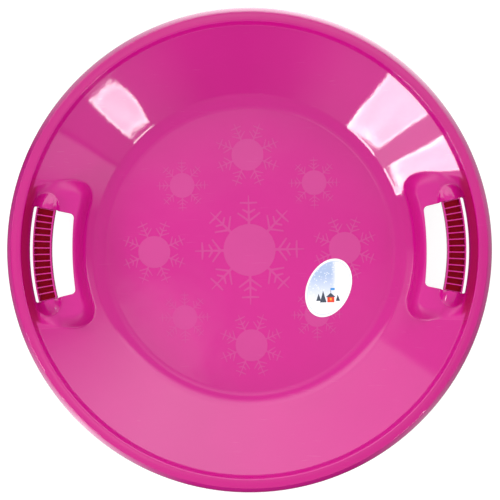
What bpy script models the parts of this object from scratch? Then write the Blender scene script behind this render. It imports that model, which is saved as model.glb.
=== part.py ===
"""Round saucer sled with two ribbed hand grips.

Metres, +Z up. The origin is on the floor, under the middle of the dish. X runs through
both hand grips, and the oval label lies in the +X, -Y quarter of the floor.
"""

import math

import bmesh
import bpy
from mathutils import Matrix, Vector

# Pan: one moulded wall, drawn as its upper surface
SLED_RADIUS = 0.300
SLED_HEIGHT = 0.080
WALL = 0.0022
FLOOR_RADIUS = 0.186
FLOOR_FILLET = 0.018
SKIRT_DROP = 0.016
SKIRT_FLARE = 0.0075
RIM_WIDTH = 0.0111
RIM_FILLET = 0.0032
STEP_RISE = 0.010
STEP_RUN = 0.0034
STEP_FILLET = 0.0025

# Shelves: a raised, rounded pad round each hand hole
SHELF_DROP = 0.024
SHELF_TILT = math.radians(16.0)
SHELF_END_MARGIN = 0.037
SHELF_INNER_MARGIN = 0.0117
SHELF_INNER_CORNER = 0.050
SHELF_INNER_RUN = 0.014
SHELF_OUTER_CORNER = 0.016
SHELF_OUTER_RUN = 0.007

# Troughs: a valley between each shelf and the rim, with a steep outer wall
TROUGH_DROP = 0.022
TROUGH_WIDTH = 0.019
TROUGH_FLOOR_WIDTH = 0.007
TROUGH_END_MARGIN = 0.041
TROUGH_END_RUN = 0.014
TROUGH_WALL_RUN = 0.0044

# Hand holes through the shelves
HOLE_LENGTH = 0.114
HOLE_WIDTH = 0.0529
HOLE_TO_TROUGH_WALL = 0.0026
HOLE_INNER_BEND = 0.375
HOLE_INNER_CORNER = 0.0055
HOLE_OUTER_CORNER = 0.0020

# Grip bars across the hand holes
BAR_WIDTH = 0.0237
BAR_DEPTH = 0.016
BAR_RISE = 0.0064
BAR_TO_HOLE_EDGE = 0.0054
BAR_RAIL = 0.0016
BAR_FLOOR = 0.0022
BAR_BOTTOM_ROUND = 0.005
RIB = 0.0014
CELL_COUNT = 14

# Sockets: hollow lumps on the shelves that take the plain ends of the bars
SOCKET_REACH = 0.0188
SOCKET_CORNER = 0.0105
SOCKET_ROUND = 0.0084
SOCKET_DEPTH = 0.008
PLUG_REACH = 0.014
PLUG_DEPTH = 0.012

# Oval label on the floor
LABEL_LENGTH = 0.0785
LABEL_WIDTH = 0.0550
LABEL_THICKNESS = 0.0003
LABEL_INSET = 0.0287
LABEL_PLACE_ANGLE = math.radians(-26.8)
LABEL_TILT = math.radians(63.8)

# Gap left between pieces that touch
CLEARANCE = 0.0003

# Fineness of the meshes
COLUMNS_OVER_HOLE = 4
COLUMNS_OVER_SHELF_END = 9
COLUMNS_BETWEEN_SHELVES = 12
FILLET_STEPS = 3
SLOPE_ROWS = 5
SHELF_ROWS = 4
TROUGH_ROWS = 7
BAR_STEPS = 14
HOLE_STEPS = 8
CORNER_STEPS = 4
LABEL_POINTS = 48
MERGE_DISTANCE = 0.00002
CLOSEST_ROWS = 0.0003
CUTTER_MARGIN = 0.010

# Colours, as Blender's linear values
PINK = (0.680, 0.036, 0.262)
LABEL_WHITE = (0.780, 0.820, 0.900)

# Places worked out from the sizes above
rim_outer_radius = SLED_RADIUS - SKIRT_FLARE
rim_inner_radius = rim_outer_radius - RIM_WIDTH
side_top_radius = rim_inner_radius - STEP_RUN
side_top_height = SLED_HEIGHT - STEP_RISE
trough_wall_radius = rim_inner_radius - TROUGH_WALL_RUN
trough_inner_radius = trough_wall_radius - TROUGH_WIDTH
hole_outer_radius = trough_wall_radius - HOLE_TO_TROUGH_WALL
hole_inner_radius = hole_outer_radius - HOLE_WIDTH
shelf_foot_radius = hole_inner_radius - SHELF_INNER_MARGIN
bar_outer_radius = hole_outer_radius - BAR_TO_HOLE_EDGE
bar_inner_radius = bar_outer_radius - BAR_WIDTH
bar_middle_radius = (bar_outer_radius + bar_inner_radius) / 2
hole_half_angle = HOLE_LENGTH / 2 / bar_middle_radius
shelf_half_length = HOLE_LENGTH / 2 + SHELF_END_MARGIN
shelf_height = SLED_HEIGHT - SHELF_DROP
trough_height = SLED_HEIGHT - TROUGH_DROP
trough_end_angle = hole_half_angle + TROUGH_END_MARGIN / bar_middle_radius
bar_top = shelf_height + BAR_RISE
bar_bottom = bar_top - BAR_DEPTH
bar_half_angle = hole_half_angle - CLEARANCE / bar_middle_radius
rib_angle = RIB / bar_middle_radius


def fillet(before, corner, after, radius):
    """Points of the arc that rounds one corner of a profile."""
    to_before = (before - corner).normalized()
    to_after = (after - corner).normalized()
    half_angle = to_before.angle(to_after) / 2
    centre = corner + (to_before + to_after).normalized() * radius / math.sin(half_angle)
    spoke = corner + to_before * radius / math.tan(half_angle) - centre
    last_spoke = corner + to_after * radius / math.tan(half_angle) - centre
    sweep = spoke.angle_signed(last_spoke)
    return [
        centre + Matrix.Rotation(-sweep * step / FILLET_STEPS, 2) @ spoke
        for step in range(FILLET_STEPS + 1)
    ]


def pan_profile():
    """The upper surface from the middle of the floor to the skirt's edge, as (radius, height)."""
    middle = Vector((0.0, WALL))
    floor_edge = Vector((FLOOR_RADIUS, WALL))
    side_top = Vector((side_top_radius, side_top_height))
    rim_inner = Vector((rim_inner_radius, SLED_HEIGHT))
    rim_outer = Vector((rim_outer_radius, SLED_HEIGHT))
    skirt_edge = Vector((SLED_RADIUS, SLED_HEIGHT - SKIRT_DROP))
    return [
        middle,
        *fillet(middle, floor_edge, side_top, FLOOR_FILLET),
        *fillet(floor_edge, side_top, rim_inner, STEP_FILLET),
        *fillet(side_top, rim_inner, rim_outer, RIM_FILLET),
        *fillet(rim_inner, rim_outer, skirt_edge, RIM_FILLET),
        skirt_edge,
    ]


def height_on(profile, radius):
    """The profile's height at a radius."""
    for inner, outer in zip(profile, profile[1:]):
        if radius <= outer.x:
            share = (radius - inner.x) / (outer.x - inner.x)
            return inner.y + share * (outer.y - inner.y)
    return profile[-1].y


def evenly(first, last, steps):
    """Values from first to last, both included."""
    return [first + (last - first) * step / steps for step in range(steps + 1)]


def row_radii(profile):
    """Radii of the pan's rings of vertices: the profile's own and those that the shelves need."""
    slope_end = shelf_foot_radius + SHELF_INNER_RUN
    radii = [point.x for point in profile]
    radii += evenly(shelf_foot_radius, slope_end, SLOPE_ROWS)
    radii += evenly(slope_end, trough_inner_radius, SHELF_ROWS)
    radii += evenly(trough_inner_radius, trough_wall_radius, TROUGH_ROWS)
    radii.sort()
    return [radii[0]] + [
        radius for previous, radius in zip(radii, radii[1:]) if radius - previous > CLOSEST_ROWS
    ]


def column_angles():
    """Angles of the pan's columns of vertices, closest together where a shelf ends."""
    quarter = evenly(0.0, hole_half_angle, COLUMNS_OVER_HOLE)[:-1]
    quarter += evenly(hole_half_angle, trough_end_angle, COLUMNS_OVER_SHELF_END)[:-1]
    quarter += evenly(trough_end_angle, math.pi / 2, COLUMNS_BETWEEN_SHELVES)[:-1]
    half = quarter + [math.pi - angle for angle in reversed(quarter[1:] + [math.pi / 2])]
    return half + [angle + math.pi for angle in half]


def eased(share):
    """A share held between 0 and 1 that starts and stops gently."""
    share = min(max(share, 0.0), 1.0)
    return share * share * (3 - 2 * share)


def depth_inside(from_side, from_end, corner):
    """How far a point lies inside a border with one rounded corner; negative outside."""
    beyond = Vector((max(corner - from_side, 0.0), max(corner - from_end, 0.0)))
    return corner - beyond.length


def trough_share(radius, from_middle):
    """0 on the plain side of the dish, 1 in a trough, and a gentle slope between."""
    across = (radius - trough_inner_radius) / (TROUGH_WIDTH - TROUGH_FLOOR_WIDTH)
    along = (trough_end_angle - from_middle) * bar_middle_radius / TROUGH_END_RUN
    return eased(across) * eased(along)


def trough_surface(radius, side_height):
    """Height of a trough's floor, and of the steep wall between it and the rim."""
    climb = max(radius - trough_wall_radius, 0.0) / TROUGH_WALL_RUN
    return min(trough_height + climb * TROUGH_DROP, side_height)


def shelf_share(radius, from_middle):
    """0 outside a shelf, 1 on it, and a gentle slope between."""
    from_end = shelf_half_length - radius * math.sin(from_middle)
    from_foot = radius - shelf_foot_radius
    from_trough_wall = trough_wall_radius - radius
    inner = depth_inside(from_foot, from_end, SHELF_INNER_CORNER) / SHELF_INNER_RUN
    outer = depth_inside(from_trough_wall, from_end, SHELF_OUTER_CORNER) / SHELF_OUTER_RUN
    return eased(min(inner, outer))


def pan_height(profile, radius, angle):
    """Height of the pan's upper surface, with its troughs and shelves."""
    from_middle = abs(math.remainder(angle, math.pi))
    height = height_on(profile, radius)
    share = trough_share(radius, from_middle)
    height += share * (trough_surface(radius, height) - height)
    level = shelf_height + (radius - bar_middle_radius) * math.tan(SHELF_TILT)
    return height + shelf_share(radius, from_middle) * (level - height)


def collection_named(name):
    collection = bpy.data.collections.new(name)
    bpy.context.scene.collection.children.link(collection)
    return collection


def clear_scene():
    for obj in list(bpy.data.objects):
        bpy.data.objects.remove(obj)


def plastic(name, color, roughness):
    material = bpy.data.materials.new(name)
    material.use_nodes = True
    shader = material.node_tree.nodes["Principled BSDF"]
    shader.inputs["Base Color"].default_value = (*color, 1.0)
    shader.inputs["Roughness"].default_value = roughness
    shader.inputs["Metallic"].default_value = 0.0
    return material


def object_from(name, mesh, collection):
    obj = bpy.data.objects.new(name, mesh)
    collection.objects.link(obj)
    return obj


def baked(obj, collection):
    """A mesh object of what the modifiers or the curve make, welded, in place of the old one."""
    graph = bpy.context.evaluated_depsgraph_get()
    mesh = bpy.data.meshes.new_from_object(obj.evaluated_get(graph))
    name = obj.name
    place = obj.matrix_world.copy()
    bpy.data.objects.remove(obj)
    bm = bmesh.new()
    bm.from_mesh(mesh)
    bmesh.ops.remove_doubles(bm, verts=bm.verts, dist=MERGE_DISTANCE)
    bm.to_mesh(mesh)
    bm.free()
    result = object_from(name, mesh, collection)
    result.matrix_world = place
    return result


def flat_block(name, outline, low, high, collection):
    """A closed outline in the XY plane, filled and extruded between two heights."""
    curve = bpy.data.curves.new(name, "CURVE")
    curve.dimensions = "2D"
    curve.fill_mode = "BOTH"
    curve.extrude = (high - low) / 2
    spline = curve.splines.new("POLY")
    spline.points.add(len(outline) - 1)
    for point, place in zip(spline.points, outline):
        point.co = (place[0], place[1], 0.0, 1.0)
    spline.use_cyclic_u = True
    obj = object_from(name, curve, collection)
    obj.location.z = (low + high) / 2
    bpy.context.view_layer.update()
    obj = baked(obj, collection)
    obj.data.transform(obj.matrix_world)
    obj.matrix_world = Matrix.Identity(4)
    merge_flat_faces(obj)
    return obj


def merge_flat_faces(obj):
    """Each flat cap becomes one face."""
    bm = bmesh.new()
    bm.from_mesh(obj.data)
    bmesh.ops.dissolve_limit(bm, angle_limit=math.radians(0.1), verts=bm.verts, edges=bm.edges)
    bm.to_mesh(obj.data)
    bm.free()


def round_edges(obj, chosen, width):
    """Bevels the edges for which chosen(edge) is true."""
    bm = bmesh.new()
    bm.from_mesh(obj.data)
    edges = [edge for edge in bm.edges if chosen(edge)]
    bmesh.ops.bevel(
        bm, geom=edges, offset=width, segments=CORNER_STEPS, profile=0.5, affect="EDGES"
    )
    bm.to_mesh(obj.data)
    bm.free()


def arc(centre, radius, first_angle, last_angle, steps):
    """Points on an arc in the XY plane, both ends included."""
    return [
        (centre[0] + radius * math.cos(angle), centre[1] + radius * math.sin(angle))
        for angle in evenly(first_angle, last_angle, steps)
    ]


def ring_sector(inner_radius, outer_radius, half_angle, inner_bend, steps):
    """Outline of a stretch of a ring across +X. Its inner arc may bend less than the ring."""
    bend_centre = inner_radius - inner_bend
    reach = bend_centre * math.cos(half_angle) + math.sqrt(
        inner_bend**2 - (bend_centre * math.sin(half_angle)) ** 2
    )
    inner_half_angle = math.atan2(
        reach * math.sin(half_angle), reach * math.cos(half_angle) - bend_centre
    )
    outer = arc((0.0, 0.0), outer_radius, -half_angle, half_angle, steps)
    inner = arc((bend_centre, 0.0), inner_bend, inner_half_angle, -inner_half_angle, steps)
    return outer + inner


def end_block(name, grow, reach, back, low, place, collection):
    """The rounded block of a bar's end: as the socket's hollow, or grow larger all round.

    It is drawn at the origin with +Y running away from the hand hole, and then put at place.
    """
    half_width = BAR_WIDTH / 2 + CLEARANCE + grow
    corner = SOCKET_CORNER + grow
    top = bar_top + CLEARANCE + grow
    right = math.pi / 2
    outline = [(-half_width, -back), (half_width, -back)]
    outline += arc((half_width - corner, reach - corner), corner, 0.0, right, CORNER_STEPS)
    outline += arc((corner - half_width, reach - corner), corner, right, 2 * right, CORNER_STEPS)
    block = flat_block(name, outline, low, top, collection)

    def at_top(edge):
        level = all(abs(vert.co.z - top) < MERGE_DISTANCE for vert in edge.verts)
        at_back = all(abs(vert.co.y + back) < MERGE_DISTANCE for vert in edge.verts)
        return level and not at_back

    round_edges(block, at_top, SOCKET_ROUND + grow)
    block.data.transform(place)
    return block


def end_places(side_angle):
    """Where the two ends of one hand hole are, with +Y running away from the hole."""
    ahead = side_angle + hole_half_angle
    behind = side_angle - hole_half_angle
    outward = Matrix.Translation((bar_middle_radius, 0.0, 0.0))
    half_turn = Matrix.Rotation(math.pi, 4, "Z")
    return (
        Matrix.Rotation(ahead, 4, "Z") @ outward,
        Matrix.Rotation(behind, 4, "Z") @ outward @ half_turn,
    )


def joined(name, blocks, collection):
    """Several separate bodies as one object."""
    bm = bmesh.new()
    for block in blocks:
        bm.from_mesh(block.data)
        bpy.data.objects.remove(block)
    mesh = bpy.data.meshes.new(name)
    bm.to_mesh(mesh)
    bm.free()
    return object_from(name, mesh, collection)


def combine(obj, other, operation):
    boolean = obj.modifiers.new(other.name, "BOOLEAN")
    boolean.operation = operation
    boolean.object = other
    other.hide_render = True
    other.display_type = "WIRE"


def smooth_round_faces(obj):
    obj.data.shade_smooth()
    obj.data.set_sharp_from_angle(angle=math.radians(30))


def turned_sheet(collection):
    """The pan's upper surface as a sheet, turned from its profile, with the shelves shaped in it."""
    profile = pan_profile()
    radii = row_radii(profile)
    angles = column_angles()
    mesh = bpy.data.meshes.new("pan")
    points = [(radius, 0.0, height_on(profile, radius)) for radius in radii]
    mesh.from_pydata(points, [(i, i + 1) for i in range(len(points) - 1)], [])
    sheet = object_from("pan", mesh, collection)
    screw = sheet.modifiers.new("turn", "SCREW")
    screw.steps = len(angles)
    screw.render_steps = len(angles)
    screw.use_merge_vertices = True
    screw.merge_threshold = MERGE_DISTANCE
    sheet = baked(sheet, collection)

    for vert in sheet.data.vertices:
        radius = vert.co.xy.length
        if radius < CLOSEST_ROWS:
            continue
        turn = math.atan2(vert.co.y, vert.co.x) % math.tau
        angle = angles[round(turn / math.tau * len(angles)) % len(angles)]
        vert.co.x = radius * math.cos(angle)
        vert.co.y = radius * math.sin(angle)
        vert.co.z = pan_height(profile, radius, angle)
    return sheet


def upright_at(corner):
    """A test for a block's upright edge on one corner of its outline."""
    place = Vector(corner)
    return lambda edge: all((vert.co.xy - place).length < MERGE_DISTANCE for vert in edge.verts)


def hand_hole(side_angle, low, collection):
    """The block that cuts one hand hole, with its four upright edges rounded."""
    outline = ring_sector(
        hole_inner_radius, hole_outer_radius, hole_half_angle, HOLE_INNER_BEND, HOLE_STEPS
    )
    hole = flat_block("hole", outline, low, SLED_HEIGHT + CUTTER_MARGIN, collection)
    for corner in (outline[0], outline[HOLE_STEPS]):
        round_edges(hole, upright_at(corner), HOLE_OUTER_CORNER)
    for corner in (outline[HOLE_STEPS + 1], outline[-1]):
        round_edges(hole, upright_at(corner), HOLE_INNER_CORNER)
    hole.data.transform(Matrix.Rotation(side_angle, 4, "Z"))
    return hole


def make_pan(parts, cutters, material):
    """The moulded dish with its two shelves, four sockets and two hand holes."""
    pan = turned_sheet(parts)
    pan.data.materials.append(material)
    solidify = pan.modifiers.new("wall", "SOLIDIFY")
    solidify.thickness = WALL
    solidify.offset = -1.0
    solidify.use_even_offset = True
    flat = pan.modifiers.new("flat faces", "DECIMATE")
    flat.decimate_type = "DISSOLVE"
    flat.angle_limit = math.radians(0.3)

    places = [place for side in (0.0, math.pi) for place in end_places(side)]
    socket_low = shelf_height - SOCKET_DEPTH
    lumps = [
        end_block("lump", WALL, SOCKET_REACH + WALL, CUTTER_MARGIN, socket_low, place, cutters)
        for place in places
    ]
    hollow_low = socket_low - CUTTER_MARGIN
    hollows = [
        end_block("hollow", 0.0, SOCKET_REACH, 2 * CUTTER_MARGIN, hollow_low, place, cutters)
        for place in places
    ]
    combine(pan, joined("socket_lumps", lumps, cutters), "UNION")
    combine(pan, joined("socket_hollows", hollows, cutters), "DIFFERENCE")

    hole_low = socket_low - 2 * CUTTER_MARGIN
    holes = [hand_hole(side_angle, hole_low, cutters) for side_angle in (0.0, math.pi)]
    combine(pan, joined("hand_holes", holes, cutters), "DIFFERENCE")
    smooth_round_faces(pan)


def cell_boxes(name, side_angle, collection):
    """The open cells between a bar's ribs, as boxes that reach out of its top."""
    pitch = (2 * bar_half_angle - rib_angle) / CELL_COUNT
    length = (pitch - rib_angle) * bar_middle_radius
    low = bar_bottom + BAR_FLOOR
    high = bar_top + CUTTER_MARGIN
    size = Vector((BAR_WIDTH - 2 * BAR_RAIL, length, high - low))
    bm = bmesh.new()
    for cell in range(CELL_COUNT):
        angle = side_angle - bar_half_angle + rib_angle / 2 + (cell + 0.5) * pitch
        turn = Matrix.Rotation(angle, 4, "Z")
        move = Matrix.Translation((bar_middle_radius, 0.0, (low + high) / 2))
        bmesh.ops.create_cube(bm, size=1.0, matrix=turn @ move @ Matrix.Diagonal((*size, 1.0)))
    mesh = bpy.data.meshes.new(name)
    bm.to_mesh(mesh)
    bm.free()
    return object_from(name, mesh, collection)


def make_grip(name, side_angle, parts, cutters, material):
    """A ribbed bar: a curved channel with cross ribs, and a plain plug at each end."""
    outline = ring_sector(
        bar_inner_radius, bar_outer_radius, bar_half_angle, bar_inner_radius, BAR_STEPS
    )
    grip = flat_block(name, outline, bar_bottom, bar_top, parts)

    def long_bottom_edge(edge):
        radii = [vert.co.xy.length for vert in edge.verts]
        lowest = all(vert.co.z < bar_bottom + MERGE_DISTANCE for vert in edge.verts)
        return lowest and abs(radii[0] - radii[1]) < MERGE_DISTANCE

    round_edges(grip, long_bottom_edge, BAR_BOTTOM_ROUND)
    grip.data.transform(Matrix.Rotation(side_angle, 4, "Z"))
    grip.data.materials.append(material)

    plugs = [
        end_block("plug", -CLEARANCE, PLUG_REACH, RIB / 2, bar_top - PLUG_DEPTH, place, cutters)
        for place in end_places(side_angle)
    ]
    combine(grip, joined(f"{name}_plugs", plugs, cutters), "UNION")
    combine(grip, cell_boxes(f"{name}_cells", side_angle, cutters), "DIFFERENCE")
    smooth_round_faces(grip)


def make_label(parts, material):
    """A thin oval on the flat of the floor, a set gap inside the floor's edge."""
    floor_flat_radius = pan_profile()[1].x
    place_radius = floor_flat_radius - LABEL_INSET - LABEL_LENGTH / 2
    outline = [
        (LABEL_LENGTH / 2 * math.cos(turn), LABEL_WIDTH / 2 * math.sin(turn))
        for turn in evenly(0.0, math.tau, LABEL_POINTS)[:-1]
    ]
    low = WALL + CLEARANCE
    label = flat_block("oval_label", outline, low, low + LABEL_THICKNESS, parts)
    place = Matrix.Rotation(LABEL_PLACE_ANGLE, 4, "Z") @ Matrix.Translation((place_radius, 0, 0))
    tilt = Matrix.Rotation(LABEL_TILT - LABEL_PLACE_ANGLE, 4, "Z")
    label.data.transform(place @ tilt)
    label.data.materials.append(material)


def main():
    clear_scene()
    parts = collection_named("saucer_sled")
    cutters = collection_named("cutters")
    make_pan(parts, cutters, plastic("pan plastic", PINK, 0.22))
    make_grip("right_grip", 0.0, parts, cutters, plastic("right grip plastic", PINK, 0.28))
    make_grip("left_grip", math.pi, parts, cutters, plastic("left grip plastic", PINK, 0.28))
    make_label(parts, plastic("label film", LABEL_WHITE, 0.35))


main()
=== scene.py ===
"""Looks of a round plastic saucer sled: pan, ribbed hand grips, snowflakes and oval label.

Metres, +Z up. X runs through both hand grips. The camera looks straight down into the dish.
"""

import math
from functools import partial

import bpy
from mathutils import Matrix, Vector


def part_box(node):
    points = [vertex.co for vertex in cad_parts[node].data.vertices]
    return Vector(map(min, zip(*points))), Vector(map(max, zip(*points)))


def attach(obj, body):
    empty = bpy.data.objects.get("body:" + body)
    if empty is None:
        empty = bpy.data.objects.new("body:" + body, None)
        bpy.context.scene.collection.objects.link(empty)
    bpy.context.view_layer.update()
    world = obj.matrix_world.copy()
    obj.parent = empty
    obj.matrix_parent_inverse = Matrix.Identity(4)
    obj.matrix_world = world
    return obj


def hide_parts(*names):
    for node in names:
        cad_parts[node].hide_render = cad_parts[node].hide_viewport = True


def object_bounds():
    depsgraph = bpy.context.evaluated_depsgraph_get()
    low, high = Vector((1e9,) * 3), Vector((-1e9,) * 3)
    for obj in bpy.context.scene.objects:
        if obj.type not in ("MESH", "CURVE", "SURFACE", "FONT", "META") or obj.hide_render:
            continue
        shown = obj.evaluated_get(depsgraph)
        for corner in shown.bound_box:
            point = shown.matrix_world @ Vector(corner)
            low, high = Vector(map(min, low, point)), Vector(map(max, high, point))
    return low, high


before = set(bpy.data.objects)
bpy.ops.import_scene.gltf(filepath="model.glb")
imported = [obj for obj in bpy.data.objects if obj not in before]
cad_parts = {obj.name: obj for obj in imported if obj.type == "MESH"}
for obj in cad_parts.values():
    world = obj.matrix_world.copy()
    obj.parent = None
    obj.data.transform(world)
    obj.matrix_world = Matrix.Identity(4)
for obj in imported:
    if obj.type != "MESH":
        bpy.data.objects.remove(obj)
cad_low, cad_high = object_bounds()

bl_info = {
    "name": "Saucer sled",
    "version": (1, 0, 0),
    "blender": (4, 5, 0),
    "location": "3D View > Sidebar > Saucer sled",
    "description": "Builds a round plastic saucer sled and a plain stage for it",
    "category": "Object",
}

BODY = "root"
WELD = 0.00001
RIGHT_ANGLE = math.pi / 2


# Settings


def setting(kind, description, default, **options):
    return kind(description=description, default=default, **options)


count = partial(setting, bpy.props.IntProperty)
number = partial(setting, bpy.props.FloatProperty)
length = partial(number, unit="LENGTH", precision=4)
angle = partial(number, subtype="ANGLE")
color = partial(setting, bpy.props.FloatVectorProperty, subtype="COLOR", size=3)


class PanSettings(bpy.types.PropertyGroup):
    radius: length("Outer radius, at the skirt's edge", cad_high[0])
    height: length("Height of the rim above the ground", cad_high[2])
    wall: length("Thickness of the moulded wall", 0.0022)
    floor_radius: length("Where floor and side would meet in a corner", 0.1915)
    floor_fillet: length("Radius of the curve between floor and side", 0.034)
    skirt_drop: length("How far the skirt hangs below the rim", 0.016)
    skirt_flare: length("How far the skirt spreads outward", 0.0075)
    rim_width: length("Width of the flat rim", 0.0111)
    rim_fillet: length("Radius of the rim's two edges", 0.0026)
    step_rise: length("Height of the steep step under the rim", 0.010)
    step_run: length("Width of the steep step under the rim", 0.0034)
    step_fillet: length("Radius at the foot of the step", 0.0018)
    edge_round: length("Rounding of the skirt's lower edge", 0.0008)


class ShelfSettings(bpy.types.PropertyGroup):
    drop: length("How far the shelf's middle lies below the rim", 0.024)
    tilt: angle("Slope of the shelf, rising outward", math.radians(16.0))
    half_length: length("From the grip's middle to the shelf's end", 0.0935)
    foot_radius: length("Where the shelf starts on the side", 0.2098)
    inner_corner: length("Rounding of the shelf's inner corners", 0.029)
    inner_run: length("Width of the slope up to the shelf's inner side", 0.0117)
    end_run: length("Width of the slope up to the shelf's ends", 0.018)
    end_bend: number("How fast the shelf's ends bend back to the hole, per metre", 6.0)
    foot_round: length("Width of the hollow curve at the shelf's foot", 0.0024)
    trough_drop: length("How far the shelf's outer part lies below the rim", 0.026)
    trough_wall: length("Width of the steep wall up to the rim", 0.00884)
    dome_length: length("Reach of a socket's dome past the hand hole", 0.0205)
    dome_width: length("Half the width of a socket's dome", 0.0168)
    dome_offset: length("How far the dome's middle lies outside the bar's", 0.0010)
    dome_rise: length("Height of a dome above its shelf", 0.0098)


class HoleSettings(bpy.types.PropertyGroup):
    outer_radius: length("Radius of the hole's outer edge", 0.2728)
    inner_radius: length("Radius of the hole's inner edge at its middle", 0.2215)
    half_length: length("Half the hole's length, along the bar", 0.057)
    inner_bend: length("Bending radius of the inner edge", 0.375)
    inner_corner: length("Rounding of the two inner corners", 0.0055)
    outer_corner: length("Rounding of the two outer corners", 0.0020)
    lip: length("Rounding of the hole's upper and lower edges", 0.0008)


class GripSettings(bpy.types.PropertyGroup):
    middle_radius: length("Radius of the bar's middle line", 0.25715)
    width: length("Width of the bar", 0.0230)
    top: length("Height of the bar's top", 0.0624)
    depth: length("Depth of the bar", 0.016)
    rail: length("Thickness of the two long rails", 0.0016)
    rib: length("Thickness of a cross rib", 0.0014)
    end_wall: length("Thickness of the wall at each end of the bar", 0.0006)
    floor: length("Thickness under the cells", 0.0022)
    cells: count("Open cells between the ribs", 14)
    gap: length("Gap between a bar's end and its socket", 0.0001)
    plug_inset: length("How much thinner the plug is, all round", 0.0010)
    plug_drop: length("How far the plug's top lies below the bar's", 0.0094)
    plug_length: length("Reach of the plug into its socket", 0.0105)
    bottom_round: length("Rounding of the two lower edges", 0.005)
    edge_round: length("Rounding of the rails and ribs", 0.0003)


class FlakeSettings(bpy.types.PropertyGroup):
    thickness: length("How far a snowflake stands out of the floor", 0.00012)
    large: length("Reach of the middle snowflake", 0.0698)
    medium: length("Reach of the four medium snowflakes", 0.0428)
    small: length("Reach of the four small snowflakes", 0.0332)
    medium_ring: length("Distance of the medium snowflakes from the middle", 0.1219)
    small_ring: length("Distance of the small snowflakes from the middle", 0.1194)


class LabelSettings(bpy.types.PropertyGroup):
    thickness: length("Thickness of the label's film", 0.00025)
    border: length("Width of the white border", 0.0028)


class ColorSettings(bpy.types.PropertyGroup):
    pink: color("The moulded plastic", (0.548, 0.003, 0.228))
    # Painted shade: a deep red that stands in for the dim, reddened light down in a grip's cells
    cell: color("The plastic down in a grip's cells", (0.640, 0.000, 0.036))
    # Painted shade for the steep wall beside each hand hole, and at a lesser share for the rim
    recess: color("The plastic on the wall beside a hand hole", (0.360, 0.000, 0.075))
    flake: color("The snowflakes' paler plastic", (0.545, 0.034, 0.250))
    sky: color("Label: the sky", (0.400, 0.520, 0.745))
    snow: color("Label: snow and border", (0.950, 0.965, 0.985))
    pine: color("Label: the trees", (0.045, 0.060, 0.090))
    roof: color("Label: the hut's walls", (0.740, 0.050, 0.020))
    lamp: color("Label: the hut's window", (0.900, 0.380, 0.030))
    blue: color("Label: the flag", (0.010, 0.260, 0.720))


class StageSettings(bpy.types.PropertyGroup):
    camera_height: length("Height of the camera above the ground", 1.88)
    frame_width: length("Width that the picture covers", 0.6186)
    frame_height: length("Height at which the frame width is measured", 0.064)
    roll: angle("Turn of the camera about its line of sight", math.radians(-1.22))
    camera_shift: length("Camera's offset along X", 0.0006)
    world: number("Brightness between the studio's walls and its ceiling", 0.8)


SETTINGS = {
    "sled_pan": PanSettings,
    "sled_shelf": ShelfSettings,
    "sled_hole": HoleSettings,
    "sled_grip": GripSettings,
    "sled_flake": FlakeSettings,
    "sled_label": LabelSettings,
    "sled_color": ColorSettings,
    "sled_stage": StageSettings,
}


# Working with objects by hand


def deselect_all():
    if bpy.context.object and bpy.context.object.mode != "OBJECT":
        bpy.ops.object.mode_set(mode="OBJECT")
    bpy.ops.object.select_all(action="DESELECT")


def pick(obj):
    """Makes obj the only selected object, and active."""
    deselect_all()
    obj.select_set(True)
    bpy.context.view_layer.objects.active = obj


def edit(obj, kind, action="DESELECT"):
    """Enters edit mode on obj with nothing selected, or all; kind is VERT, EDGE or FACE."""
    pick(obj)
    bpy.ops.object.mode_set(mode="EDIT")
    bpy.ops.mesh.select_mode(type=kind)
    bpy.ops.mesh.select_all(action=action)


def done():
    bpy.ops.object.mode_set(mode="OBJECT")


def choose(obj, kind, test):
    """Enters edit mode on obj with those edges or faces selected that pass the test."""
    edit(obj, kind)
    done()
    for element in obj.data.edges if kind == "EDGE" else obj.data.polygons:
        element.select = bool(test(element))
    bpy.ops.object.mode_set(mode="EDIT")


def extrude(move):
    """Extrudes what is selected and moves it."""
    bpy.ops.mesh.extrude_region_move(TRANSFORM_OT_translate={"value": move})


def apply_all(obj):
    """Applies every modifier of obj, in order."""
    pick(obj)
    for modifier in list(obj.modifiers):
        bpy.ops.object.modifier_apply(modifier=modifier.name)


def settle(obj):
    """Moves obj's place, turn and scale into its mesh."""
    pick(obj)
    bpy.ops.object.transform_apply(location=True, rotation=True, scale=True)


def recalculate(obj):
    """Merges doubles and points every face outward."""
    edit(obj, "FACE", "SELECT")
    bpy.ops.mesh.remove_doubles(threshold=WELD)
    bpy.ops.mesh.normals_make_consistent(inside=False)
    done()


def smooth(obj, degrees):
    pick(obj)
    bpy.ops.object.shade_smooth_by_angle(angle=math.radians(degrees))


def bevel(obj, width, degrees):
    """Rounds obj's edges that turn by more than an angle, and applies its modifiers."""
    rounding = obj.modifiers.new("rounding", "BEVEL")
    rounding.width = width
    rounding.segments = 3
    rounding.limit_method = "ANGLE"
    rounding.angle_limit = math.radians(degrees)
    apply_all(obj)


def cut(obj, cutter, operation="DIFFERENCE"):
    """Joins or cuts obj with another object, which is then removed."""
    boolean = obj.modifiers.new("cut", "BOOLEAN")
    boolean.operation = operation
    boolean.solver = "EXACT"
    boolean.object = cutter
    apply_all(obj)
    bpy.data.objects.remove(cutter)


def moved_copy(obj, move):
    """A copy of obj whose mesh is moved by a matrix."""
    copy = obj.copy()
    copy.data = obj.data.copy()
    bpy.context.scene.collection.objects.link(copy)
    copy.data.transform(move)
    return copy


def named(obj, name):
    obj.name = name
    obj.data.name = name
    return obj


def added(primitive, name, **settings):
    """The object that one of Blender's primitive operators adds."""
    deselect_all()
    primitive(**settings)
    return named(bpy.context.object, name)


def hand_over(obj, material, nodes):
    """Gives obj its material, and says what it rides on and stands for."""
    obj.data.materials.clear()
    obj.data.materials.append(material)
    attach(obj, BODY)
    if nodes:
        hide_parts(*nodes)


# Shape of the pan


def evenly(first, last, steps):
    """Values from first to last, both included."""
    return [first + (last - first) * step / steps for step in range(steps + 1)]


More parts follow.
